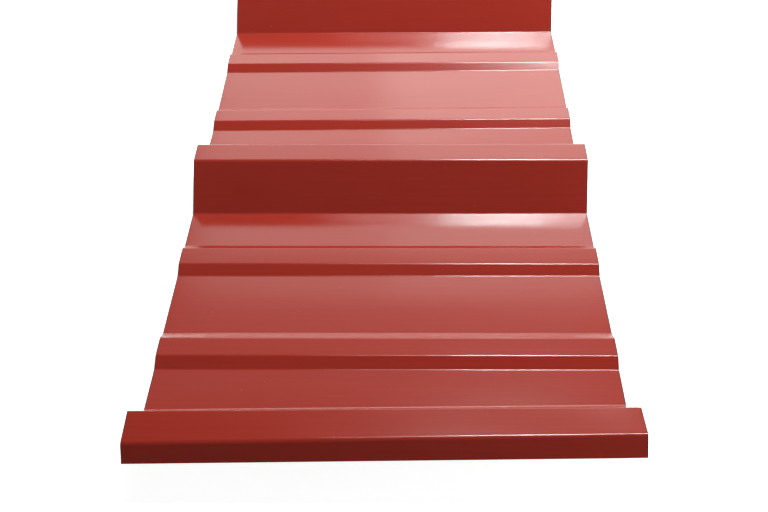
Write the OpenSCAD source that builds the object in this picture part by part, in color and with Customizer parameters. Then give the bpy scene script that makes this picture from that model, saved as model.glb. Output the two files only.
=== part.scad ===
// Ribbed steel roof panel: a short length of roll-formed sheet, lying on its pans with the ribs up.
// Millimetres. X runs along the ribs, Y across the panel from its lapping edge to its lapped edge, Z up.
// The origin is under the middle of the sheet, on the level that its pans rest on.

/* [Sheet] */
// Length along the ribs
sheet_length = 317.5; // [100:0.5:3000]
// Thickness of the painted steel
sheet_thickness = 0.5; // [0.4:0.05:0.8]
// Inside radius of every bend
bend_radius = 2.3; // [1:0.1:3]
// Flat steps that each round bend is drawn in
bend_steps = 6; // [2:1:10]

/* [Ribs] */
// Distance from the middle of one rib to the middle of the next
rib_pitch = 304.8; // [280:0.1:330]
// Number of pans between the ribs, whose pitches add up to the width that the panel covers
pan_count = 3; // [1:1:5]
// Height of a rib above the pans
rib_height = 31.75; // [24:0.05:38]
// Width of a rib's top between its two corners
rib_top = 23.2; // [16:0.1:32]
// How far a rib's side leans out between its top and its foot
rib_side_run = 29.2; // [20:0.1:36]

/* [Minor ribs] */
// Height of a minor rib above the pan
minor_height = 4.7; // [3:0.1:7]
// Width of a minor rib's top between its two corners
minor_top = 17.8; // [12:0.1:24]
// How far a minor rib's side leans out between its top and its foot
minor_side_run = 9.3; // [7:0.1:14]
// Distance between the middles of the two minor ribs of a pan
minor_pitch = 101.6; // [80:0.1:130]

/* [Edges] */
// Length of the leg that turns down from the top of each edge rib
edge_leg = 12.7; // [8:0.1:20]
// Room between the lapping rib and the rib of the next panel that it covers, which lap tape fills
lap_play = 2; // [0.5:0.1:3]
// How far the lapping rib's top tilts up towards its leg, so that it drops easily over that rib
lap_tilt = 4; // [0:0.5:6]

/* [Hidden] */

side_angle = atan2(rib_height, rib_side_run);
// The lapping rib is this much larger all round than the others, so that it fits over one of them
lap_growth = sheet_thickness + lap_play;
last_rib = pan_count;

// Half width of a rib's top and of its base, and its height, for a rib that is larger all round by grow
function top_half(grow) = rib_top / 2 + grow * tan(side_angle / 2);
function base_half(grow) = rib_top / 2 + rib_side_run + grow / sin(side_angle);
function top_height(grow) = rib_height + grow;

// The sheet's middle surface is a line of corners, [across, up], from the lapping edge to the lapped edge.
// Each edge rib has its top, a leg turned down at its free end, and a full side only towards the pans.
leg_drop = edge_leg * [cos(side_angle), -sin(side_angle)];
lapping_far_top = [top_half(lap_growth), top_height(lap_growth)];
lapping_near_top = lapping_far_top + 2 * top_half(lap_growth) * [-cos(lap_tilt), sin(lap_tilt)];
lapping_leg_end = lapping_near_top + [-leg_drop[0], leg_drop[1]];
lapping_rib_corners = [lapping_leg_end, lapping_near_top, lapping_far_top, [base_half(lap_growth), 0]];
function inner_rib_corners(middle) = [
    [middle - base_half(0), 0],
    [middle - top_half(0), top_height(0)],
    [middle + top_half(0), top_height(0)],
    [middle + base_half(0), 0],
];
lapped_near_corners = [for (i = [0 : 2]) inner_rib_corners(last_rib * rib_pitch)[i]];
lapped_leg_end = lapped_near_corners[2] + leg_drop;
function minor_corners(middle) = [
    [middle - minor_top / 2 - minor_side_run, 0],
    [middle - minor_top / 2, minor_height],
    [middle + minor_top / 2, minor_height],
    [middle + minor_top / 2 + minor_side_run, 0],
];
function pan_corners(pan) = [
    for (side = [-1, 1])
        each minor_corners((pan + 0.5) * rib_pitch + side * minor_pitch / 2)
];
section_corners = [
    each lapping_rib_corners,
    for (pan = [0 : last_rib - 1]) each [
        each pan_corners(pan),
        if (pan < last_rib - 1) each inner_rib_corners((pan + 1) * rib_pitch),
    ],
    each lapped_near_corners,
    lapped_leg_end,
];

// The direction from one corner to the next, as an angle
function heading(a, b) = atan2(b[1] - a[1], b[0] - a[0]);
function along(angle) = [cos(angle), sin(angle)];
function across(angle) = [-sin(angle), cos(angle)];

// A bend's middle surface, as [point, heading] in steps from where the flat before it ends to where the next begins
middle_radius = bend_radius + sheet_thickness / 2;
function bend(before, corner, after) =
    let (
        arriving = heading(before, corner),
        turn = heading(corner, after) - arriving,
        side = sign(turn),
        start = corner - along(arriving) * middle_radius * tan(abs(turn) / 2),
        centre = start + across(arriving) * side * middle_radius
    )
    [
        for (step = [0 : bend_steps])
            let (angle = arriving + turn * step / bend_steps)
            [centre - across(angle) * side * middle_radius, angle]
    ];
corner_last = len(section_corners) - 1;
middle_line = [
    [section_corners[0], heading(section_corners[0], section_corners[1])],
    for (i = [1 : corner_last - 1]) each bend(section_corners[i - 1], section_corners[i], section_corners[i + 1]),
    [section_corners[corner_last], heading(section_corners[corner_last - 1], section_corners[corner_last])],
];

// One face of the sheet, half a thickness above or below its middle surface
function face(side) = [
    for (place = middle_line)
        place[0] + across(place[1]) * side * sheet_thickness / 2
];
function reversed(points) = [for (i = [len(points) - 1 : -1 : 0]) points[i]];

// Middle of the sheet's width, which the larger lapping rib puts a little off the ribs' own middle
width_middle = (lapping_leg_end[0] + lapped_leg_end[0]) / 2;

// The section in its own plane, lying with its pans' undersides on the level 0
module section() {
    translate([-width_middle, sheet_thickness / 2])
        polygon(concat(face(1), reversed(face(-1))));
}

// The whole sheet, rolled from one strip
module roof_panel() {
    color("#B03A31")
        rotate([90, 0, 90])
            linear_extrude(height = sheet_length, center = true)
                section();
}

roof_panel();
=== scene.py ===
"""Dresses a ribbed steel roof panel for a studio picture, around the frame that its CAD model gives.

The panel is one strip of coil-coated steel, rolled into four main ribs with low minor ribs between them.
Lengths in the classes are millimetres, and everything is built in metres in the frame's own axes:
X along the ribs, Y across the panel away from the camera, Z up from the floor.
"""

import logging
import math
from collections.abc import Callable
from dataclasses import dataclass, field
from enum import Enum
from functools import partial

import bpy
from mathutils import Matrix, Vector

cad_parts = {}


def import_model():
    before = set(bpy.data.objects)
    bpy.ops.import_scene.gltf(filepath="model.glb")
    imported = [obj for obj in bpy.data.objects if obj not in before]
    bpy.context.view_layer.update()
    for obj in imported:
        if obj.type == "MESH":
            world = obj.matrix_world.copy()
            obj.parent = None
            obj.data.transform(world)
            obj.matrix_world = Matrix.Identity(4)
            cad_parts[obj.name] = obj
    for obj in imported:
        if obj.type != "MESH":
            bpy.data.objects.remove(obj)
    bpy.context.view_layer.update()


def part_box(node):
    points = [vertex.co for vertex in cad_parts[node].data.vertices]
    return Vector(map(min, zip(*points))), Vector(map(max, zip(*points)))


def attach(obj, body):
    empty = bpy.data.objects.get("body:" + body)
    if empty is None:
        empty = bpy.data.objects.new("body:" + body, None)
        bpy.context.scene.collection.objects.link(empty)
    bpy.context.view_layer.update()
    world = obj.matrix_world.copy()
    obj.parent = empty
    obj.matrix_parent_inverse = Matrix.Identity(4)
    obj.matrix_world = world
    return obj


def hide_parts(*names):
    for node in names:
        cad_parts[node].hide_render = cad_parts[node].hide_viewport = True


log = logging.getLogger("roof_panel")

MM = 0.001
PANEL_NODE = "roof_panel"

Corner = tuple[float, float]
Colour = tuple[float, float, float, float]
Socket = bpy.types.NodeSocket
# add_node with its tree given
AddNode = Callable[..., bpy.types.Node]

TO_FRONT = (0.0, -1.0, 0.0)
TO_LEFT = (-1.0, 0.0, 0.0)
DOWN = (0.0, 0.0, -1.0)
WHITE = "#FFFFFF"
WARM = "#FFFEF9"
COOL = "#DFFFFF"


class Cover(Enum):
    """What covers each side of the steel, with the name of the modifier input that takes its material."""

    FACE = "Face Finish"
    BACK = "Back Finish"
    CUT = "Cut Finish"


class Outline(Enum):
    """Outline of a lamp's face, with its share of the rectangle round it."""

    RECTANGLE = 1.0
    ELLIPSE = math.pi / 4


def linear_colour(hex_code: str) -> Colour:
    """Turn an sRGB hex colour into the linear colour that shaders take.

    Args:
        hex_code: Six hex digits after a hash sign.

    Returns:
        Linear red, green and blue, and an alpha of 1.
    """

    def channel(start: int) -> float:
        """One channel's linear value."""
        value = int(hex_code[start : start + 2], 16) / 255
        return value / 12.92 if value <= 0.04045 else ((value + 0.055) / 1.055) ** 2.4

    return (channel(1), channel(3), channel(5), 1.0)


def add_node(
    tree: bpy.types.NodeTree,
    kind: str,
    inputs: dict[str | int, object] | None = None,
    **settings: object,
) -> bpy.types.Node:
    """Add one node to a shader or geometry tree.

    Args:
        tree: The tree that gets the node.
        kind: Blender's identifier of the node.
        inputs: Values, or the output sockets to link, by the input's name or number.
        **settings: The node's own properties.

    Returns:
        The new node.
    """
    node = tree.nodes.new(kind)
    for name, value in settings.items():
        setattr(node, name, value)
    for key, value in (inputs or {}).items():
        if isinstance(value, Socket):
            tree.links.new(value, node.inputs[key])
        else:
            node.inputs[key].default_value = value
    return node


def new_material(name: str) -> tuple[bpy.types.Material, AddNode]:
    """Make an empty material.

    Args:
        name: Its name.

    Returns:
        The material, and the function that adds a node to its tree.
    """
    material = bpy.data.materials.new(name)
    material.use_nodes = True
    material.node_tree.nodes.clear()
    return material, partial(add_node, material.node_tree)


def add_patches(add: AddNode, length: float, width: float, detail: float) -> Socket:
    """Add a pattern of soft patches, which may be drawn out into streaks along the ribs.

    Args:
        add: Adds a node to the material's tree.
        length: Size of the patches along the ribs, in millimetres.
        width: Their size across the ribs.
        detail: How many layers of finer patches lie over them.

    Returns:
        The pattern, from 0 to 1.
    """
    place = add("ShaderNodeTexCoord").outputs["Object"]
    across = 1 / (width * MM)
    sized = add("ShaderNodeMapping", {"Vector": place, "Scale": (1 / (length * MM), across, across)})
    inputs = {"Vector": sized.outputs["Vector"], "Scale": 1.0, "Detail": detail}
    return add("ShaderNodeTexNoise", inputs).outputs["Fac"]


@dataclass(frozen=True)
class PanLift:
    """How far one pan stands off the floor at a cut end, from the rib before it to the rib after it.

    Attributes:
        start: Lift at the foot of the rib before the pan, in millimetres.
        first_minor: Lift of its first minor rib.
        second_minor: Lift of its second minor rib.
        finish: Lift at the foot of the rib after the pan.
    """

    start: float = 0.0
    first_minor: float = 0.0
    second_minor: float = 0.0
    finish: float = 0.0


@dataclass(frozen=True)
class LappingRib:
    """Section of the rib that laps over the next panel.

    It ends in a short leg, so it is free to twist.

    Attributes:
        far_corner: The far corner of its top, across the panel and up.
        top: Width of its top, in millimetres.
        tilt: Degrees that its top rises towards the leg.
        leg: Length of the leg.
        leg_slope: Degrees that the leg falls from level.
        foot: Its foot's place across the panel.
        leg_radius: Inside radius of the bend between its top and its leg.
    """

    far_corner: Corner
    top: float
    tilt: float
    leg: float
    leg_slope: float
    foot: float
    leg_radius: float

    def corners(self, foot_lift: float) -> list[Corner]:
        """Corners of the rib, whose foot stands off the floor by foot_lift.

        Args:
            foot_lift: The foot's height in millimetres.

        Returns:
            The leg's free end, the top's near and far corners, and the foot.
        """
        tilt = math.radians(self.tilt)
        slope = math.radians(self.leg_slope)
        across, up = self.far_corner
        near_corner = (across - self.top * math.cos(tilt), up + self.top * math.sin(tilt))
        leg_end = (near_corner[0] - self.leg * math.cos(slope), near_corner[1] - self.leg * math.sin(slope))
        return [leg_end, near_corner, self.far_corner, (self.foot, foot_lift)]


@dataclass(frozen=True)
class CutEnd:
    """How the sheet lies at one of its cut ends.

    Cutting lets thin rolled steel spring a little out of line, so the two ends differ.

    Attributes:
        lapping_rib: The rib along the lapping edge.
        lean: How far the cut stands further back at the floor than at the highest place, in millimetres.
        pans: How far each pan stands off the floor.
    """

    lapping_rib: LappingRib
    lean: float
    pans: tuple[PanLift, ...]


@dataclass(frozen=True)
class LinePoint:
    """One point of the sheet's middle line.

    Attributes:
        across: Its place across the panel.
        up: Its height.
        slack: How freely the steel can ripple there, from 0 to 1.
        stretch: How much the paint is stretched there, from 0 on the flats to 1 on a bend.
    """

    across: float
    up: float
    slack: float
    stretch: float


@dataclass(frozen=True)
class Bend:
    """One bend of the section.

    Attributes:
        radius: Its radius on the inner face, in millimetres.
        stretch: How much the bend stretches and dulls the paint, from 0 to 1.
    """

    radius: float
    stretch: float


@dataclass(frozen=True)
class PanelSection:
    """The sheet's section as a line of corners along the middle of its thickness, in millimetres.

    Attributes:
        thickness: Thickness of the steel.
        bend_radius: Inside radius of the main ribs' bends, and of the lapping rib's leg as rolled.
        minor_bend_radius: Inside radius of the minor ribs' near feet and tops.
        minor_far_radius: Inside radius of their far feet, which the photograph shows softer.
        lapping_far_radius: Inside radius of the far edge of the lapping rib's top.
        rib_pitch: Distance from the middle of one main rib to the middle of the next.
        pan_count: Number of pans between the main ribs.
        rib_height: Height of a main rib.
        rib_top: Width of its top between its two corners.
        rib_side_run: How far its side leans out between its top and its foot.
        minor_height: Height of a minor rib above the pan.
        minor_top: Width of its top.
        minor_side_run: How far its side leans out between its top and its foot.
        second_far_run: The same for the far side of each pan's second minor rib, which is steeper.
        minor_offset: How far the minor ribs stand nearer the lapping edge than the middle of their pan asks.
        minor_pitch: Distance between the two minor ribs of a pan.
        edge_leg: Length of the leg that turns down from the top of each edge rib.
        lap_play: Room between the lapping rib and the rib of the next panel that it covers.
        lap_tilt: Degrees that the lapping rib's top rises towards its leg as rolled.
        bend_steps: Flat steps that each bend is drawn in.
        flat_step: Length of the steps that a flat is split into.
        flat_margin: Distance from each bend to the flat's first point, where the bend's shading ends.
        free_flat: Width from which a flat is fully free to ripple.
    """

    thickness: float = 0.5
    bend_radius: float = 3.0
    minor_bend_radius: float = 3.0
    minor_far_radius: float = 5.5
    lapping_far_radius: float = 1.0
    rib_pitch: float = 304.8
    pan_count: int = 3
    rib_height: float = 31.75
    rib_top: float = 23.2
    rib_side_run: float = 29.2
    minor_height: float = 4.5
    minor_top: float = 17.8
    minor_side_run: float = 8.9
    second_far_run: float = 7.5
    minor_offset: float = 0.8
    minor_pitch: float = 101.6
    edge_leg: float = 12.7
    lap_play: float = 2.0
    lap_tilt: float = 4.0
    bend_steps: int = 7
    flat_step: float = 9.0
    flat_margin: float = 0.5
    free_flat: float = 65.0

    @property
    def side_slope(self) -> float:
        """Angle of a rib's side from level, in radians."""
        return math.atan2(self.rib_height, self.rib_side_run)

    @property
    def plain_end(self) -> CutEnd:
        """The sheet as it is rolled, before any cut end springs.

        Returns:
            A cut end without lifts, lean or twist.
        """
        grow = self.thickness + self.lap_play
        half_top = self.half_top(grow)
        rib = LappingRib(
            far_corner=(half_top, self.rib_height + grow),
            top=2 * half_top,
            tilt=self.lap_tilt,
            leg=self.edge_leg,
            leg_slope=math.degrees(self.side_slope),
            foot=self.half_base(grow),
            leg_radius=self.bend_radius,
        )
        return CutEnd(rib, lean=0.0, pans=(PanLift(),) * self.pan_count)

    def half_top(self, grow: float) -> float:
        """Half the width of a rib's top, for a rib that is larger all round by grow."""
        return self.rib_top / 2 + grow * math.tan(self.side_slope / 2)

    def half_base(self, grow: float) -> float:
        """Half the width of a rib at its feet, for a rib that is larger all round by grow."""
        return self.rib_top / 2 + self.rib_side_run + grow / math.sin(self.side_slope)

    def rib_corners(self, middle: float, near_lift: float, far_lift: float) -> list[Corner]:
        """Corners of a main rib, from its near foot to its far foot.

        Args:
            middle: The rib's place across the panel.
            near_lift: How far its near foot stands off the floor.
            far_lift: How far its far foot does.

        Returns:
            Near foot, near top, far top and far foot.
        """
        base = self.half_base(0)
        top = self.half_top(0)
        corners = []
        for across, up in ((-base, 0.0), (-top, self.rib_height), (top, self.rib_height), (base, 0.0)):
            lift = near_lift + (far_lift - near_lift) * (across + base) / (2 * base)
            corners.append((middle + across, up + lift))
        return corners

    def minor_corners(self, middle: float, lift: float, far_run: float) -> list[Corner]:
        """Corners of a minor rib, from its near foot to its far foot.

        Args:
            middle: The middle of its top, across the panel.
            lift: How far its feet stand off the floor.
            far_run: How far its far side leans out between its top and its foot.

        Returns:
            Near foot, near top, far top and far foot.
        """
        half_top = self.minor_top / 2
        half_base = half_top + self.minor_side_run
        top = self.minor_height + lift
        far_foot = middle + half_base
        return [
            (middle - half_base, lift), (middle - half_top, top), (far_foot - far_run, top), (far_foot, lift)
        ]

    def corners(self, end: CutEnd) -> list[Corner]:
        """All corners of the section, from the lapping edge to the lapped edge.

        Args:
            end: How the sheet lies at this place along it.

        Returns:
            The corners as places across and up.
        """
        line = end.lapping_rib.corners(end.pans[0].start)
        for pan, lift in enumerate(end.pans):
            pan_middle = (pan + 0.5) * self.rib_pitch - self.minor_offset
            first = pan_middle - self.minor_pitch / 2
            second = pan_middle + self.minor_pitch / 2
            line += self.minor_corners(first, lift.first_minor, self.minor_side_run)
            line += self.minor_corners(second, lift.second_minor, self.second_far_run)
            far_lift = end.pans[pan + 1].start if pan + 1 < self.pan_count else lift.finish
            line += self.rib_corners((pan + 1) * self.rib_pitch, lift.finish, far_lift)
        across, up = line[-2]
        slope = self.side_slope
        leg_end = (across + self.edge_leg * math.cos(slope), up - self.edge_leg * math.sin(slope))
        return line[:-1] + [leg_end]

    def bends(self, end: CutEnd) -> list[Bend]:
        """Every bend of the section, from the lapping edge to the lapped edge.

        Args:
            end: How the sheet lies at this place along it.

        Returns:
            One bend for each corner between the line's two ends.
        """
        # the main ribs' feet look as glossy as the flats, their tops a little duller, the rest duller still
        foot = Bend(self.bend_radius, stretch=0.0)
        top = Bend(self.bend_radius, stretch=0.3)
        leg = Bend(end.lapping_rib.leg_radius, stretch=1.0)
        lapping_far_top = Bend(self.lapping_far_radius, stretch=1.0)
        bends = [leg, lapping_far_top, foot]
        minor = [Bend(self.minor_bend_radius, stretch=1.0)] * 3 + [Bend(self.minor_far_radius, stretch=1.0)]
        for _ in range(self.pan_count):
            bends += [*minor, *minor, foot, top, top, foot]
        return bends[:-1]

    def flat_counts(self) -> list[int]:
        """How many steps each flat is split into, the same at every place along the sheet."""
        corners = self.corners(self.plain_end)
        return [max(1, round(math.dist(a, b) / self.flat_step)) for a, b in zip(corners, corners[1:])]

    def arc(self, before: Corner, corner: Corner, after: Corner, radius: float) -> list[Corner]:
        """Round one corner of the line.

        Args:
            before: The corner before it.
            corner: The corner to round.
            after: The corner after it.
            radius: The bend's radius on its inner face.

        Returns:
            Points of the arc, from where the flat before it ends to where the next begins.
        """
        arriving = math.atan2(corner[1] - before[1], corner[0] - before[0])
        turn = math.atan2(after[1] - corner[1], after[0] - corner[0]) - arriving
        radius = (radius + self.thickness / 2) * math.copysign(1, turn)
        reach = radius * math.tan(turn / 2)
        start = (corner[0] - reach * math.cos(arriving), corner[1] - reach * math.sin(arriving))
        centre = (start[0] - radius * math.sin(arriving), start[1] + radius * math.cos(arriving))
        points = []
        for step in range(self.bend_steps + 1):
            heading = arriving + turn * step / self.bend_steps
            points.append((centre[0] + radius * math.sin(heading), centre[1] - radius * math.cos(heading)))
        return points

    def line(self, end: CutEnd) -> list[LinePoint]:
        """The middle line with its bends rounded and its flats split.

        Args:
            end: How the sheet lies at this place along it.

        Returns:
            The same number of points for any end, with more slack in the middle of the wider flats.
        """
        corners = self.corners(end)
        bends = self.bends(end)
        runs = [[corners[0]]]
        for before, corner, after, bend in zip(corners, corners[1:], corners[2:], bends):
            runs.append(self.arc(before, corner, after, bend.radius))
        runs.append([corners[-1]])
        stretches = [0.0, *(bend.stretch for bend in bends)]
        points = []
        for run, following, stretch, count in zip(runs, runs[1:], stretches, self.flat_counts()):
            points += [LinePoint(across, up, 0.0, stretch) for across, up in run]
            start = run[-1]
            finish = following[0]
            length = math.dist(start, finish)
            room = min(1.0, length / self.free_flat)
            margin = self.flat_margin / length
            for share in [margin, *(step / count for step in range(1, count)), 1 - margin]:
                across = start[0] + (finish[0] - start[0]) * share
                up = start[1] + (finish[1] - start[1]) * share
                points.append(LinePoint(across, up, room * math.sin(math.pi * share) ** 2, 0.0))
        return points + [LinePoint(*corners[-1], 0.0, 0.0)]


@dataclass(frozen=True)
class CoilCoat:
    """Semi-gloss polyester coil coating, rolled on and baked.

    It gives an even red with soft, slightly broken reflections, a little duller where a bend stretched it.

    Attributes:
        name: The material's name.
        paint: Colour of the paint.
        aged: Colour of the faint clouds where handling has dulled it.
        cloud_size: Size of the faint clouds, in millimetres.
        streak: Colour of the fine lines that the rollers rubbed in along the ribs.
        streak_length: Length of those lines, in millimetres.
        streak_width: Their width.
        streak_noise: Where in its noise a line starts to show, and where it shows in full.
        streak_strength: How much of its colour a line has there.
        speck: Colour of the few specks of dust that lie on the paint.
        speck_spacing: Distance between them, in millimetres.
        speck_radius: Their radius.
        speck_strength: How much of its colour a speck has in its middle.
        painted_edge_shade: Colour of the dark rim painted along both cut ends as shade at the edges.
        painted_edge_shade_share: Width of that rim, as a share of the panel's length.
        ior: Its refractive index.
        roughness: How soft its reflections are.
        roughness_spread: How much the roughness varies from place to place.
        flat_gloss: Specular level on the flats.
        bend_gloss: Specular level on the bends, where the stretched paint is duller.
        peel_size: Size of the waves that the rollers leave in the paint, in millimetres.
        peel_height: Height of those waves.
        peel_on_bends: Share of that height left on the bends, where the paint is stretched smooth.
        smooth_stretch: Stretch from which the paint is as smooth as that.
    """

    name: str = "polyester_coil_coat_red"
    paint: str = "#AB3225"
    aged: str = "#A83429"
    cloud_size: float = 60.0
    streak: str = "#B23D31"
    streak_length: float = 70.0
    # the real lines are finer than a pixel, so they are drawn wide enough to show
    streak_width: float = 1.8
    streak_noise: tuple[float, float] = (0.45, 0.85)
    streak_strength: float = 0.35
    speck: str = "#CB8076"
    speck_spacing: float = 16.0
    # most real dust is finer than a pixel, so the specks are drawn large enough to show
    speck_radius: float = 0.45
    speck_strength: float = 0.6
    # painted shade: a dark rim along both cut ends that stands for the shade at the edges
    painted_edge_shade: str = "#6E2420"
    painted_edge_shade_share: float = 0.0024
    ior: float = 1.5
    roughness: float = 0.14
    roughness_spread: float = 0.01
    flat_gloss: float = 0.5
    bend_gloss: float = 0.36
    # the real waves are finer than a pixel, so they are drawn long enough to break a reflection
    peel_size: float = 1.5
    peel_height: float = 0.018
    peel_on_bends: float = 0.05
    smooth_stretch: float = 0.3

    def material(self) -> bpy.types.Material:
        """Build the paint's material.

        Returns:
            The material, with its patterns in object coordinates.
        """
        material, add = new_material(self.name)
        stretch = add("ShaderNodeAttribute", attribute_name="stretch").outputs["Fac"]
        clouds = add_patches(add, self.cloud_size, self.cloud_size, detail=3.0)
        softness = add(
            "ShaderNodeMapRange",
            {
                "Value": clouds,
                "To Min": self.roughness - self.roughness_spread,
                "To Max": self.roughness + self.roughness_spread,
            },
        )
        gloss = add(
            "ShaderNodeMapRange", {"Value": stretch, "To Min": self.flat_gloss, "To Max": self.bend_gloss}
        )
        shader = add(
            "ShaderNodeBsdfPrincipled",
            {
                "Base Color": self.add_colour(add, clouds),
                "Roughness": softness.outputs["Result"],
                "IOR": self.ior,
                "Specular IOR Level": gloss.outputs["Result"],
                "Normal": self.add_peel(add, stretch),
            },
        )
        add("ShaderNodeOutputMaterial", {"Surface": shader.outputs["BSDF"]})
        return material

    def add_colour(self, add: AddNode, clouds: Socket) -> Socket:
        """Lay the clouds, streaks, specks and the painted edge shade over the paint's colour.

        Args:
            add: Adds a node to the material's tree.
            clouds: The pattern of the clouds.

        Returns:
            The colour.
        """
        layers = (
            (clouds, self.aged),
            (self.add_streaks(add), self.streak),
            (self.add_specks(add), self.speck),
            # the last layer paints shade as a dark rim along both cut ends
            (self.add_painted_edge_shade(add), self.painted_edge_shade),
        )
        colour = linear_colour(self.paint)
        for amount, tone in layers:
            inputs = {0: amount, 6: colour, 7: linear_colour(tone)}
            colour = add("ShaderNodeMix", inputs, data_type="RGBA").outputs[2]
        return colour

    def add_streaks(self, add: AddNode) -> Socket:
        """Add the pattern of the rubbed lines.

        Args:
            add: Adds a node to the material's tree.

        Returns:
            How much of a line's colour there is.
        """
        faintest, fullest = self.streak_noise
        rubbed = add(
            "ShaderNodeMapRange",
            {
                "Value": add_patches(add, self.streak_length, self.streak_width, detail=2.0),
                "From Min": faintest,
                "From Max": fullest,
                "To Max": self.streak_strength,
            },
        )
        return rubbed.outputs["Result"]

    def add_specks(self, add: AddNode) -> Socket:
        """Add the pattern of the dust.

        Args:
            add: Adds a node to the material's tree.

        Returns:
            How much of a speck's colour there is.
        """
        place = add("ShaderNodeTexCoord").outputs["Object"]
        dust = add("ShaderNodeTexVoronoi", {"Vector": place, "Scale": 1 / (self.speck_spacing * MM)})
        radius = self.speck_radius / self.speck_spacing
        dusty = add(
            "ShaderNodeMapRange",
            {
                "Value": dust.outputs["Distance"],
                "From Min": radius / 2,
                "From Max": radius,
                "To Min": self.speck_strength,
                "To Max": 0.0,
            },
        )
        return dusty.outputs["Result"]

    def add_painted_edge_shade(self, add: AddNode) -> Socket:
        """Add the pattern of the dark rim painted at both cut ends as shade at the edges.

        Args:
            add: Adds a node to the material's tree.

        Returns:
            How much of the rim's colour there is.
        """
        share = add("ShaderNodeAttribute", attribute_name="share").outputs["Fac"]
        centred = add("ShaderNodeMath", {0: share, 1: 0.5}, operation="SUBTRACT")
        from_middle = add("ShaderNodeMath", {0: centred.outputs[0]}, operation="ABSOLUTE")
        rim = add(
            "ShaderNodeMapRange",
            {
                "Value": from_middle.outputs[0],
                "From Min": 0.5 - self.painted_edge_shade_share,
                "From Max": 0.5 - self.painted_edge_shade_share / 2,
            },
        )
        return rim.outputs["Result"]

    def add_peel(self, add: AddNode, stretch: Socket) -> Socket:
        """Add the fine waves in the paint's surface.

        Args:
            add: Adds a node to the material's tree.
            stretch: How much the paint is stretched.

        Returns:
            The surface's bumped direction.
        """
        relief = add(
            "ShaderNodeMapRange",
            {"Value": stretch, "From Max": self.smooth_stretch, "To Min": 1.0, "To Max": self.peel_on_bends},
        )
        bump = add(
            "ShaderNodeBump",
            {
                "Height": add_patches(add, self.peel_size, self.peel_size, detail=1.0),
                "Distance": self.peel_height * MM,
                "Strength": relief.outputs["Result"],
            },
        )
        return bump.outputs["Normal"]


@dataclass(frozen=True)
class MottledFinish:
    """A finish of one colour, broken up by patches of another.

    Attributes:
        name: The material's name.
        colour: Its colour.
        patch: Colour of the patches.
        patch_length: Their size along the ribs, in millimetres.
        patch_width: Their size across the ribs.
        detail: How many layers of finer patches lie over them.
        roughness: How soft its reflections are.
        metallic: 1 for bare metal.
    """

    name: str
    colour: str
    patch: str
    patch_length: float
    patch_width: float
    detail: float
    roughness: float
    metallic: float = 0.0

    def material(self) -> bpy.types.Material:
        """Build the finish's material.

        Returns:
            The material, with its pattern in object coordinates.
        """
        material, add = new_material(self.name)
        patches = add_patches(add, self.patch_length, self.patch_width, self.detail)
        inputs = {0: patches, 6: linear_colour(self.colour), 7: linear_colour(self.patch)}
        colour = add("ShaderNodeMix", inputs, data_type="RGBA").outputs[2]
        inputs = {"Base Color": colour, "Metallic": self.metallic, "Roughness": self.roughness}
        shader = add("ShaderNodeBsdfPrincipled", inputs)
        add("ShaderNodeOutputMaterial", {"Surface": shader.outputs["BSDF"]})
        return material


@dataclass(frozen=True)
class BackerCoat(MottledFinish):
    """Thin off-white polyester wash on the reverse: pale, matt and a little uneven from the rollers."""

    name: str = "polyester_backer_coat_white"
    colour: str = "#C9C8C2"
    patch: str = "#BDBDB9"
    patch_length: float = 120.0
    patch_width: float = 6.0
    detail: float = 3.0
    roughness: float = 0.5


@dataclass(frozen=True)
class ShearedSteel(MottledFinish):
    """Zinc-coated steel, sheared: the cut edge is bare grey metal, mottled where the shear tore it."""

    name: str = "sheared_galvanised_steel"
    colour: str = "#A9A9A8"
    patch: str = "#7F7F80"
    # real tearing is much finer than the 0.5 mm edge, so it is drawn coarse enough to show along it
    patch_length: float = 0.6
    patch_width: float = 0.6
    detail: float = 2.0
    roughness: float = 0.42
    metallic: float = 1.0


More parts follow.
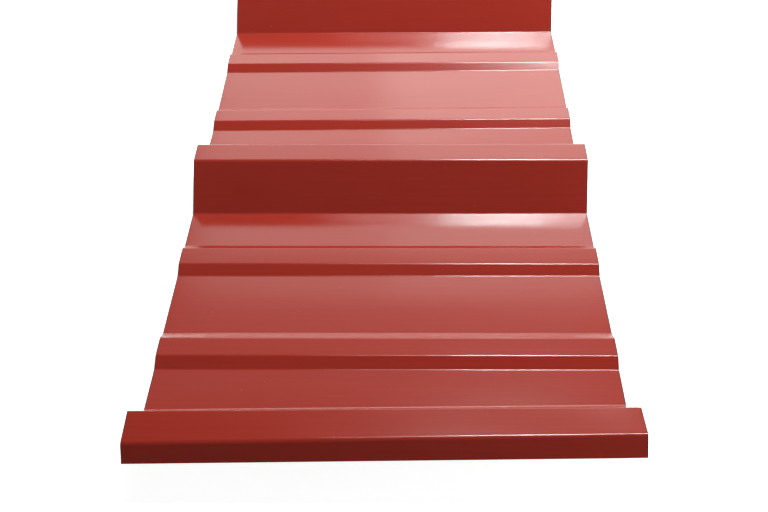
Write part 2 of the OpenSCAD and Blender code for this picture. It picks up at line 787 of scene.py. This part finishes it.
@dataclass
class RoofPanel:
    """The whole sheet: its section drawn at both cut ends, and the steel between them.

    Attributes:
        section: The section's sizes.
        left_end: How it lies at the end with the lowest X.
        right_end: How it lies at the other end.
        length_steps: Steps from one end to the other.
        swell_height: How far the wider flats stand proud in the middle of the sheet, in millimetres.
        ripple_height: How far they ripple on top of that.
        ripple_size: Distance from one ripple to the next, in millimetres.
        ripple_seed: Which ripples the sheet gets.
        weld_distance: How near two points are that become one when the sheet is closed, in millimetres.
        rim_angle: Degrees of turn from which an edge stays sharp, as at the sheet's rim.
        name: The piece's name.
    """

    section: PanelSection = field(default_factory=PanelSection)
    left_end: CutEnd = CutEnd(
        lapping_rib=LappingRib(
            far_corner=(11.8, 35.2), top=24.9, tilt=-5.0, leg=12.9, leg_slope=63.0, foot=43.1, leg_radius=3.5
        ),
        lean=0.0,
        pans=(PanLift(3.0, 2.2, 1.0, 0.0), PanLift(1.3, 0.4, 1.1, 0.6), PanLift(0.9, 0.6, 0.3, 0.0)),
    )
    right_end: CutEnd = CutEnd(
        lapping_rib=LappingRib(
            far_corner=(18.0, 33.3), top=24.8, tilt=6.1, leg=13.9, leg_slope=46.0, foot=49.2, leg_radius=2.3
        ),
        lean=1.4,
        pans=(PanLift(2.7, 2.5, 0.9, 0.0), PanLift(1.2, 2.3, 2.5, 0.8), PanLift(1.1, 0.8, 0.4, 0.0)),
    )
    length_steps: int = 48
    swell_height: float = 0.1
    ripple_height: float = 0.03
    ripple_size: float = 110.0
    ripple_seed: float = 7.0
    weld_distance: float = 0.02
    rim_angle: float = 45.0
    name: str = "painted_roof_panel"

    def end_lines(self, low: Vector, high: Vector) -> bpy.types.Object:
        """Draw the section's middle line at both cut ends.

        Args:
            low: Lowest corner of the panel's box in the frame, in metres.
            high: Its highest corner.

        Returns:
            An object whose mesh holds the left line's points and then the right line's, with their slack
            and stretch.
        """
        plain = self.section.corners(self.section.plain_end)
        middle = (plain[0][0] + plain[-1][0]) / 2
        across_start = (low.y + high.y) / 2 - middle * MM
        points = []
        slack = []
        stretch = []
        for x, inward, end in ((low.x, 1, self.left_end), (high.x, -1, self.right_end)):
            for point in self.section.line(end):
                up = low.z + (point.up + self.section.thickness / 2) * MM
                back = end.lean * MM * (high.z - up) / (high.z - low.z)
                points.append((x + inward * back, across_start + point.across * MM, up))
                slack.append(point.slack)
                stretch.append(point.stretch)
        mesh = bpy.data.meshes.new(self.name)
        mesh.from_pydata(points, [], [])
        mesh.attributes.new("slack", "FLOAT", "POINT").data.foreach_set("value", slack)
        mesh.attributes.new("stretch", "FLOAT", "POINT").data.foreach_set("value", stretch)
        panel = bpy.data.objects.new(self.name, mesh)
        bpy.context.scene.collection.objects.link(panel)
        return panel

    def rolling_tree(self) -> bpy.types.NodeTree:
        """Build the Geometry Nodes tree that stretches the sheet between its two end lines.

        Returns:
            The tree: a grid laid over both lines, rippled, given its thickness and its finishes.
        """
        tree = bpy.data.node_groups.new("rolled_sheet", "GeometryNodeTree")
        inputs = {
            "Geometry": ["Geometry"],
            "Int": ["Length Steps"],
            "Float": ["Thickness", "Swell Height", "Ripple Height", "Ripple Size", "Seed"],
            "Material": [cover.value for cover in Cover],
        }
        for kind, names in inputs.items():
            for name in names:
                tree.interface.new_socket(name=name, in_out="INPUT", socket_type=f"NodeSocket{kind}")
        tree.interface.new_socket(name="Geometry", in_out="OUTPUT", socket_type="NodeSocketGeometry")
        add = partial(add_node, tree)
        given = add("NodeGroupInput").outputs
        sheet = self.add_lofted_sheet(add, given)
        sheet = self.add_ripple(add, given, sheet)
        self.add_thickness_and_finishes(add, given, sheet)
        return tree

    def add_lofted_sheet(self, add: AddNode, given: bpy.types.NodeOutputs) -> Socket:
        """Lay a grid over the two end lines, and keep each point's slack and stretch on it.

        Args:
            add: Adds a node to the tree.
            given: The group's inputs.

        Returns:
            The sheet's middle surface.
        """
        whole = "FunctionNodeIntegerMath"
        lines = given["Geometry"]
        steps = given["Length Steps"]
        count = add("GeometryNodeAttributeDomainSize", {"Geometry": lines}).outputs["Point Count"]
        per_line = add(whole, {0: count, 1: 2}, operation="DIVIDE").outputs[0]
        stations = add(whole, {0: steps, 1: 1}, operation="ADD").outputs[0]
        grid = add("GeometryNodeMeshGrid", {"Vertices X": stations, "Vertices Y": per_line})
        index = add("GeometryNodeInputIndex").outputs["Index"]
        on_left = add(whole, {0: index, 1: per_line}, operation="MODULO").outputs[0]
        on_right = add(whole, {0: on_left, 1: per_line}, operation="ADD").outputs[0]
        station = add(whole, {0: index, 1: per_line}, operation="DIVIDE").outputs[0]
        share = add("ShaderNodeMath", {0: station, 1: steps}, operation="DIVIDE").outputs[0]
        position = add("GeometryNodeInputPosition").outputs["Position"]
        ends = []
        for point in (on_left, on_right):
            sample = add(
                "GeometryNodeSampleIndex",
                {"Geometry": lines, "Value": position, "Index": point},
                data_type="FLOAT_VECTOR",
            )
            ends.append(sample.outputs["Value"])
        between = add("ShaderNodeMix", {0: share, 4: ends[0], 5: ends[1]}, data_type="VECTOR")
        values = {"share": share}
        for name in ("slack", "stretch"):
            drawn = add("GeometryNodeInputNamedAttribute", {"Name": name}, data_type="FLOAT")
            values[name] = add(
                "GeometryNodeSampleIndex",
                {"Geometry": lines, "Value": drawn.outputs["Attribute"], "Index": on_left},
                data_type="FLOAT",
            ).outputs["Value"]
        kept = grid.outputs["Mesh"]
        for name, value in values.items():
            kept = add(
                "GeometryNodeStoreNamedAttribute",
                {"Geometry": kept, "Name": name, "Value": value},
                data_type="FLOAT",
                domain="POINT",
            ).outputs["Geometry"]
        inputs = {"Geometry": kept, "Position": between.outputs[1]}
        return add("GeometryNodeSetPosition", inputs).outputs["Geometry"]

    def offset_in_section(self, add: AddNode, distance: Socket) -> Socket:
        """Make an offset square to the sheet that stays in its section's plane, so that it keeps its length.

        Args:
            add: Adds a node to the tree.
            distance: How far to go above the sheet.

        Returns:
            The offset.
        """
        normal = add("GeometryNodeInputNormal").outputs["Normal"]
        flat = add("ShaderNodeVectorMath", {0: normal, 1: (0.0, 1.0, 1.0)}, operation="MULTIPLY")
        scaled = add("ShaderNodeVectorMath", {0: flat.outputs[0], "Scale": distance}, operation="SCALE")
        return scaled.outputs[0]

    def add_ripple(self, add: AddNode, given: bpy.types.NodeOutputs, sheet: Socket) -> Socket:
        """Swell and ripple the flats a little between their bends, as thin rolled steel does.

        Args:
            add: Adds a node to the tree.
            given: The group's inputs.
            sheet: The middle surface.

        Returns:
            The rippled surface.
        """
        position = add("GeometryNodeInputPosition").outputs["Position"]
        scale = add("ShaderNodeMath", {0: 1.0, 1: given["Ripple Size"]}, operation="DIVIDE")
        noise = add(
            "ShaderNodeTexNoise",
            {"Vector": position, "W": given["Seed"], "Scale": scale.outputs[0], "Detail": 1.0},
            noise_dimensions="4D",
        )
        slack = add("GeometryNodeInputNamedAttribute", {"Name": "slack"}, data_type="FLOAT")
        share = add("GeometryNodeInputNamedAttribute", {"Name": "share"}, data_type="FLOAT")
        half_turn = add("ShaderNodeMath", {0: share.outputs["Attribute"], 1: math.pi}, operation="MULTIPLY")
        arch = add("ShaderNodeMath", {0: half_turn.outputs[0]}, operation="SINE")
        swell = add("ShaderNodeMath", {0: arch.outputs[0], 1: given["Swell Height"]}, operation="MULTIPLY")
        height = add(
            "ShaderNodeMath",
            {0: noise.outputs["Fac"], 1: given["Ripple Height"], 2: swell.outputs[0]},
            operation="MULTIPLY_ADD",
        )
        freed = add(
            "ShaderNodeMath", {0: height.outputs[0], 1: slack.outputs["Attribute"]}, operation="MULTIPLY"
        )
        offset = self.offset_in_section(add, freed.outputs[0])
        moved = add("GeometryNodeSetPosition", {"Geometry": sheet, "Offset": offset})
        return moved.outputs["Geometry"]

    def add_thickness_and_finishes(self, add: AddNode, given: bpy.types.NodeOutputs, sheet: Socket) -> None:
        """Turn the middle surface into a closed sheet, smooth its faces and give each its finish.

        Args:
            add: Adds a node to the tree.
            given: The group's inputs.
            sheet: The rippled middle surface.
        """
        half = add("ShaderNodeMath", {0: given["Thickness"], 1: -0.5}, operation="MULTIPLY")
        down = self.offset_in_section(add, half.outputs[0])
        under = add("GeometryNodeSetPosition", {"Geometry": sheet, "Offset": down})
        raised = add(
            "GeometryNodeExtrudeMesh",
            {
                "Mesh": under.outputs["Geometry"],
                "Offset": self.offset_in_section(add, given["Thickness"]),
                "Individual": False,
            },
            mode="FACES",
        )
        back = add("GeometryNodeFlipFaces", {"Mesh": under.outputs["Geometry"]})
        marked = add(
            "GeometryNodeStoreNamedAttribute",
            {"Geometry": back.outputs["Mesh"], "Name": "back", "Value": True},
            data_type="BOOLEAN",
            domain="FACE",
        )
        joined = add("GeometryNodeJoinGeometry")
        # this input takes several links, in their order
        for part in (raised.outputs["Mesh"], marked.outputs["Geometry"]):
            joined.id_data.links.new(part, joined.inputs["Geometry"])
        closed = add(
            "GeometryNodeMergeByDistance",
            {"Geometry": joined.outputs["Geometry"], "Distance": self.weld_distance * MM},
        )
        smooth = add("GeometryNodeSetShadeSmooth", {"Geometry": closed.outputs["Geometry"]})
        angle = add("GeometryNodeInputMeshEdgeAngle").outputs["Unsigned Angle"]
        rim_angle = math.radians(self.rim_angle)
        is_rim = add("FunctionNodeCompare", {0: angle, 1: rim_angle}, operation="GREATER_THAN")
        sharp = add(
            "GeometryNodeSetShadeSmooth",
            {"Geometry": smooth.outputs["Geometry"], "Selection": is_rim.outputs[0], "Shade Smooth": False},
            domain="EDGE",
        )
        is_back = add("GeometryNodeInputNamedAttribute", {"Name": "back"}, data_type="BOOLEAN")
        solid = add("GeometryNodeRealizeInstances", {"Geometry": sharp.outputs["Geometry"]})
        finished = solid.outputs["Geometry"]
        selections = {
            Cover.FACE: True, Cover.BACK: is_back.outputs["Attribute"], Cover.CUT: raised.outputs["Side"]
        }
        for cover, selection in selections.items():
            finished = add(
                "GeometryNodeSetMaterial",
                {"Geometry": finished, "Selection": selection, "Material": given[cover.value]},
            ).outputs["Geometry"]
        add("NodeGroupOutput", {"Geometry": finished})

    def build(
        self, low: Vector, high: Vector, finishes: dict[Cover, bpy.types.Material]
    ) -> bpy.types.Object:
        """Make the sheet as one plain mesh.

        Args:
            low: Lowest corner of the panel's box in the frame, in metres.
            high: Its highest corner.
            finishes: The material of each cover.

        Returns:
            The finished piece, at the origin.
        """
        panel = self.end_lines(low, high)
        tree = self.rolling_tree()
        values = {
            "Length Steps": self.length_steps,
            "Thickness": self.section.thickness * MM,
            "Swell Height": self.swell_height * MM,
            "Ripple Height": self.ripple_height * MM,
            "Ripple Size": self.ripple_size * MM,
            "Seed": self.ripple_seed,
        }
        values.update({cover.value: material for cover, material in finishes.items()})
        modifier = panel.modifiers.new("rolled_sheet", "NODES")
        modifier.node_group = tree
        for item in tree.interface.items_tree:
            if item.in_out == "INPUT" and item.name in values:
                modifier[item.identifier] = values[item.name]
        bpy.context.view_layer.update()
        evaluated = panel.evaluated_get(bpy.context.evaluated_depsgraph_get())
        baked = bpy.data.meshes.new_from_object(evaluated)
        # the grid brings an empty first slot, and taking it out moves every face to its own finish
        baked.materials.pop(index=0)
        panel.modifiers.clear()
        panel.data = baked
        return panel


@dataclass(frozen=True)
class Softbox:
    """One large, soft lamp.

    Attributes:
        name: The lamp's name.
        place: Its middle, in metres.
        facing: The way that it faces.
        width: Its width in metres.
        height: Its height in metres.
        radiance: How bright its face is, in watts per square metre and steradian.
        outline: Whether it is a rectangle or an ellipse.
        tint: Colour of its light.
    """

    name: str
    place: tuple[float, float, float]
    facing: tuple[float, float, float]
    width: float
    height: float
    radiance: float
    outline: Outline = Outline.RECTANGLE
    tint: str = WARM

    def build(self) -> None:
        """Add the lamp, which lights and is mirrored but isn't seen by the camera itself."""
        data = bpy.data.lights.new(self.name, "AREA")
        data.shape = self.outline.name
        data.size = self.width
        data.size_y = self.height
        data.energy = math.pi * self.width * self.height * self.outline.value * self.radiance
        data.color = linear_colour(self.tint)[:3]
        lamp = bpy.data.objects.new(self.name, data)
        lamp.location = self.place
        lamp.rotation_euler = Vector(self.facing).to_track_quat("-Z", "Y").to_euler()
        lamp.visible_camera = False
        bpy.context.scene.collection.objects.link(lamp)


@dataclass(frozen=True)
class StudioCamera:
    """The camera at the photograph's viewing angle.

    Attributes:
        place: Its place in millimetres, in the frame's axes.
        yaw: Degrees that it turns towards +X from looking along +Y.
        pitch: Degrees that it looks down.
        roll: Degrees that its right side drops.
        focal_pixels: Focal length in pixels of the picture.
        picture_width: Width of the picture in pixels.
        sensor_width: Width of the sensor in millimetres.
    """

    place: tuple[float, float, float] = (15.8, -947.3, 558.2)
    yaw: float = -1.62
    pitch: float = 38.52
    roll: float = 0.99
    focal_pixels: float = 1169.2
    picture_width: float = 768.0
    sensor_width: float = 36.0

    def build(self) -> None:
        """Add the camera and make it the scene's own."""
        data = bpy.data.cameras.new("camera")
        data.sensor_width = self.sensor_width
        data.lens = self.focal_pixels / self.picture_width * self.sensor_width
        yaw = math.radians(self.yaw)
        pitch = math.radians(self.pitch)
        roll = math.radians(self.roll)
        ahead = math.cos(pitch)
        forward = Vector((math.sin(yaw) * ahead, math.cos(yaw) * ahead, -math.sin(pitch)))
        level = Vector((math.cos(yaw), -math.sin(yaw), 0.0))
        upright = -forward.cross(level)
        right = level * math.cos(roll) - upright * math.sin(roll)
        up = upright * math.cos(roll) + level * math.sin(roll)
        turn = Matrix((right, up, -forward)).transposed().to_4x4()
        camera = bpy.data.objects.new("camera", data)
        camera.matrix_world = Matrix.Translation(Vector(self.place) * MM) @ turn
        bpy.context.scene.collection.objects.link(camera)
        bpy.context.scene.camera = camera


@dataclass(frozen=True)
class Studio:
    """A plain pale floor under soft light, white where the camera sees past the panel.

    Attributes:
        floor_size: Width of the floor in metres.
        floor_colour: Colour of the floor's paint.
        floor_lift: How much white is added to the floor where it is seen.
        floor_gap: How far the floor lies under the panel's lowest point, in millimetres.
        room_light: Strength of the room's own light on the panel.
        softboxes: The lamps.
    """

    floor_size: float = 12.0
    floor_colour: str = "#E6E6E6"
    floor_lift: float = 0.85
    floor_gap: float = 0.3
    room_light: float = 0.064
    softboxes: tuple[Softbox, ...] = (
        Softbox("rear_high", (0.0, 2.25, 1.28), TO_FRONT, width=1.32, height=0.44, radiance=2.2),
        Softbox("rear_high_right", (0.29, 2.22, 1.28), TO_FRONT, width=0.75, height=0.44, radiance=0.95),
        Softbox("rear_low", (0.0, 2.25, 0.73), TO_FRONT, width=1.6, height=0.66, radiance=1.8),
        Softbox("rear_band", (0.0, 2.19, 0.525), TO_FRONT, width=1.6, height=0.25, radiance=4.0),
        Softbox("rear_top", (0.0, 1.95, 1.5), DOWN, width=1.32, height=0.6, radiance=1.8),
        Softbox("rear_top_right", (0.31, 1.95, 1.47), DOWN, width=0.7, height=0.6, radiance=0.7),
        Softbox("middle_top", (-0.1, 1.37, 1.5), DOWN, width=1.4, height=0.56, radiance=0.4),
        Softbox(
            "key", (0.205, 0.695, 1.44), DOWN, width=0.27, height=0.1, radiance=116.0,
            outline=Outline.ELLIPSE, tint=COOL,
        ),
        Softbox(
            "key_glow", (0.18, 0.5, 1.47), DOWN, width=0.7, height=0.35, radiance=9.7,
            outline=Outline.ELLIPSE, tint=WHITE,
        ),
        Softbox(
            "right_bank", (0.42, 0.425, 1.5), DOWN, width=0.61, height=0.37, radiance=34.0,
            outline=Outline.ELLIPSE, tint=WHITE,
        ),
        Softbox("right_low", (1.3, -0.95, 0.375), TO_LEFT, width=1.3, height=0.75, radiance=3.2, tint=WHITE),
    )

    def build(self) -> None:
        """Add the floor, the lamps and the room's own light."""
        self.build_floor()
        self.build_room()
        for softbox in self.softboxes:
            softbox.build()

    def build_floor(self) -> None:
        """Add the floor just under the sheet."""
        half = self.floor_size / 2
        level = -self.floor_gap * MM
        mesh = bpy.data.meshes.new("floor")
        corners = [(-half, -half, level), (half, -half, level), (half, half, level), (-half, half, level)]
        mesh.from_pydata(corners, [], [(0, 1, 2, 3)])
        mesh.materials.append(self.floor_material())
        floor = bpy.data.objects.new("floor", mesh)
        bpy.context.scene.collection.objects.link(floor)

    def floor_material(self) -> bpy.types.Material:
        """Build the floor's matt paint, lifted to pure white where it is seen, with the panel's shadow kept.

        Returns:
            The material.
        """
        material, add = new_material("white_studio_floor")
        diffuse = add("ShaderNodeBsdfDiffuse", {"Color": linear_colour(self.floor_colour)})
        rays = add("ShaderNodeLightPath").outputs
        seen = rays["Is Camera Ray"]
        for kind in ("Is Glossy Ray", "Is Transmission Ray"):
            seen = add("ShaderNodeMath", {0: seen, 1: rays[kind]}, operation="MAXIMUM").outputs[0]
        lift = add("ShaderNodeMath", {0: seen, 1: self.floor_lift}, operation="MULTIPLY")
        glow = add("ShaderNodeEmission", {"Strength": lift.outputs[0]})
        both = add("ShaderNodeAddShader", {0: diffuse.outputs[0], 1: glow.outputs[0]})
        add("ShaderNodeOutputMaterial", {"Surface": both.outputs[0]})
        return material

    def build_room(self) -> None:
        """Set the room's light: white to look at, but dim on the panel, whose ribs mirror a dark room."""
        world = bpy.data.worlds.new("studio_room")
        world.use_nodes = True
        world.node_tree.nodes.clear()
        add = partial(add_node, world.node_tree)
        rays = add("ShaderNodeLightPath").outputs
        seen = add(
            "ShaderNodeMath", {0: rays["Is Camera Ray"], 1: rays["Is Transmission Ray"]}, operation="MAXIMUM"
        )
        plain = linear_colour(WHITE)
        room = add("ShaderNodeBackground", {"Color": plain, "Strength": self.room_light})
        white = add("ShaderNodeBackground", {"Color": plain, "Strength": 1.0})
        mixed = add("ShaderNodeMixShader", {0: seen.outputs[0], 1: room.outputs[0], 2: white.outputs[0]})
        add("ShaderNodeOutputWorld", {"Surface": mixed.outputs[0]})
        bpy.context.scene.world = world


def main() -> None:
    """Load the frame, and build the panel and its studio."""
    logging.basicConfig(level=logging.INFO, format="%(name)s: %(message)s")
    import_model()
    StudioCamera().build()
    Studio().build()
    finishes = {
        Cover.FACE: CoilCoat().material(),
        Cover.BACK: BackerCoat().material(),
        Cover.CUT: ShearedSteel().material(),
    }
    panel = RoofPanel().build(*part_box(PANEL_NODE), finishes)
    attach(panel, "root")
    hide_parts(PANEL_NODE)
    log.info("%s: %d points, %d faces", panel.name, len(panel.data.vertices), len(panel.data.polygons))
    bpy.context.scene.view_settings.view_transform = "Standard"


if __name__ == "__main__":
    main()
